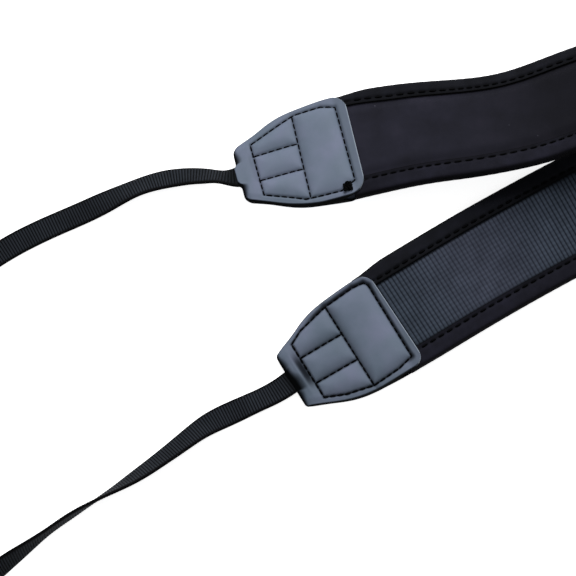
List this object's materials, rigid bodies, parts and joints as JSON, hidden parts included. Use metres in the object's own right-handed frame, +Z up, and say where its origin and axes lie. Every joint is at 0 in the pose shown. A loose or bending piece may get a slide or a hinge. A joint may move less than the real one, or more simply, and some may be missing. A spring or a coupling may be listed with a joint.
{
  "type": "binocular neck strap",
  "caption": "Padded neoprene neck strap with ribbed webbing face, bound edges, leather end tabs and narrow webbing tails, lying folded back over itself.",
  "frame": {"origin": "middle of the underside of the whole laid strap, on the surface that it lies on", "axes": "+Z up, +X from the tails' ends towards the folded end, +Y from the lower leg's tail towards the upper leg"},
  "size_m": [0.4014, 0.277, 0.0753],
  "materials": {
    "neoprene": "matte brushed jersey over foam",
    "face_webbing": "cross-ribbed woven webbing",
    "binding_tape": "smooth folded tape with a line of stitches",
    "slate_leather": "smooth grey-blue faux leather, stitched and quilted",
    "tail_webbing": "finely ribbed narrow webbing"
  },
  "bodies": {
    "root": {"neoprene_pad": "neoprene", "face_webbing": "face_webbing", "edge_binding_left": "binding_tape", "edge_binding_right": "binding_tape", "tab_lower_front": "slate_leather", "tab_lower_back": "slate_leather", "tab_upper_front": "slate_leather", "tab_upper_back": "slate_leather", "tail_lower": "tail_webbing", "tail_upper": "tail_webbing"}
  },
  "joints": []
}
